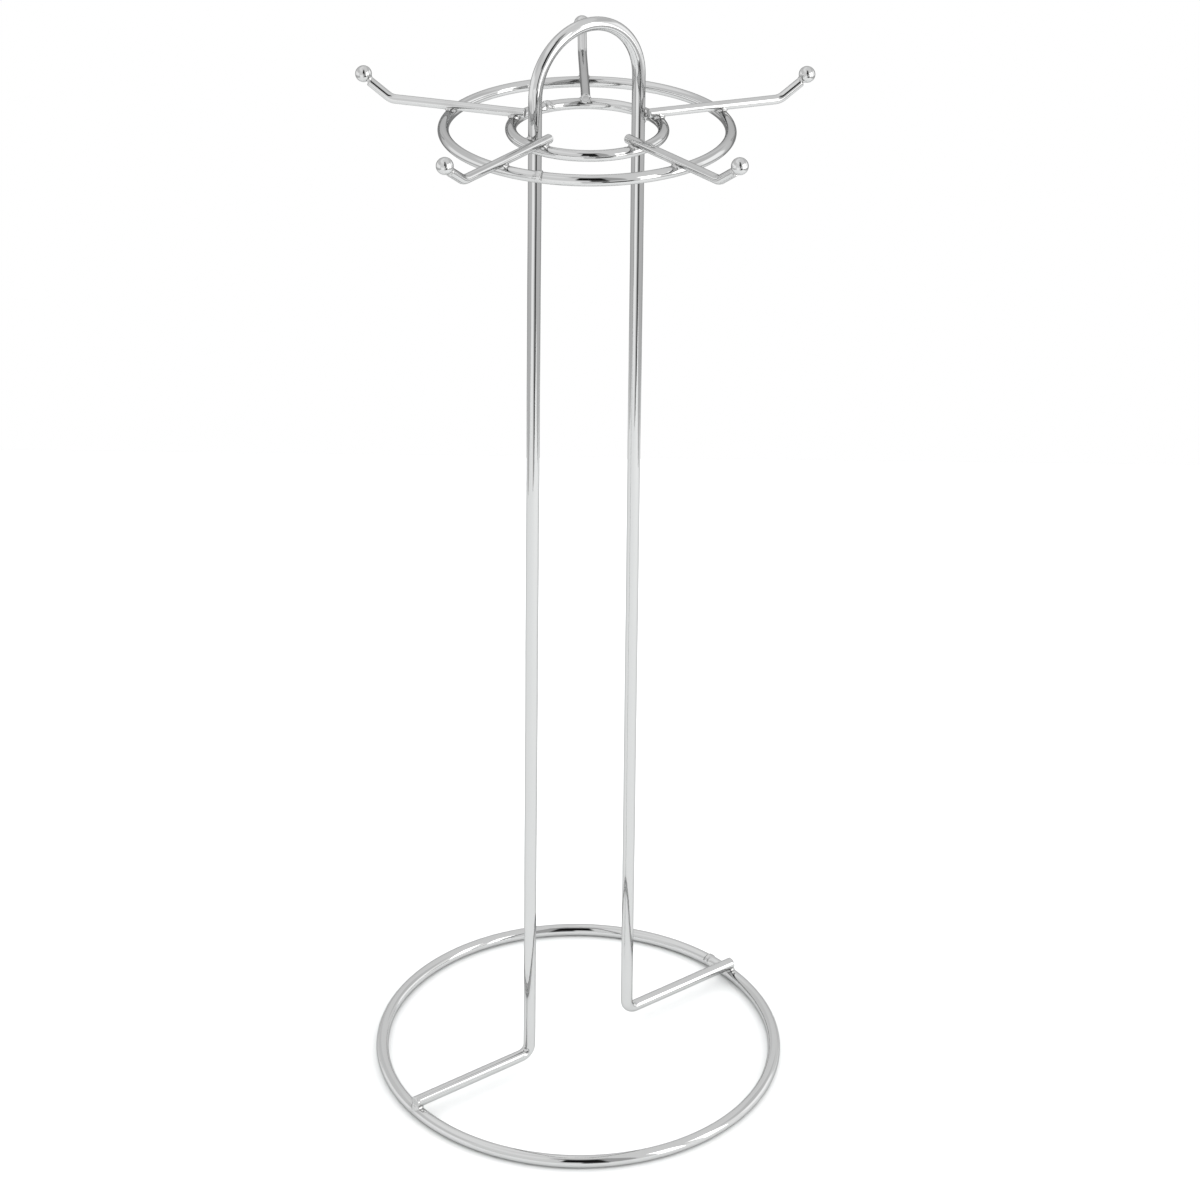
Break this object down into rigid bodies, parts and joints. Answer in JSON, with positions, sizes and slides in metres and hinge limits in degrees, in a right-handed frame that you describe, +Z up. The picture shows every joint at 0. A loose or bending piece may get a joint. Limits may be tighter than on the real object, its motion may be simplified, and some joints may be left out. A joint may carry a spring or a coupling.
{
  "type": "mug tree",
  "caption": "Chromed wire mug tree: ring base, tall bent-wire frame with a loop handle, and one tier of upturned ball-tipped hooks welded on concentric rings.",
  "frame": {"origin": "middle of the base ring, on the surface that the stand rests on", "axes": "+Z up along the stand's axis, X along the two feet and across the gap between the uprights, -Y along hook 1"},
  "size_m": [0.155, 0.1584, 0.408],
  "materials": {
    "frame_chrome": "bright chrome plate on drawn steel wire, faint draw lines along the wire",
    "ring_chrome": "bright chrome plate on drawn steel wire, butt weld left showing",
    "hook_chrome": "bright chrome plate on thin drawn steel wire, cut ends square",
    "ball_chrome": "bright chrome plate on polished steel ball",
    "weld_chrome": "chrome plate over as-welded steel, lumpy and slightly dull"
  },
  "bodies": {
    "root": {"base_ring": "ring_chrome", "frame_wire": "frame_chrome", "inner_ring": "ring_chrome", "outer_ring": "ring_chrome", "hook_1": "hook_chrome", "hook_2": "hook_chrome", "hook_3": "hook_chrome", "hook_4": "hook_chrome", "hook_5": "hook_chrome", "ball_1": "ball_chrome", "ball_2": "ball_chrome", "ball_3": "ball_chrome", "ball_4": "ball_chrome", "ball_5": "ball_chrome", "foot_weld_left": "weld_chrome", "foot_weld_right": "weld_chrome", "upright_weld_left": "weld_chrome", "upright_weld_right": "weld_chrome", "hook_inner_welds": "weld_chrome", "hook_outer_welds": "weld_chrome", "ball_welds": "weld_chrome"}
  },
  "joints": []
}
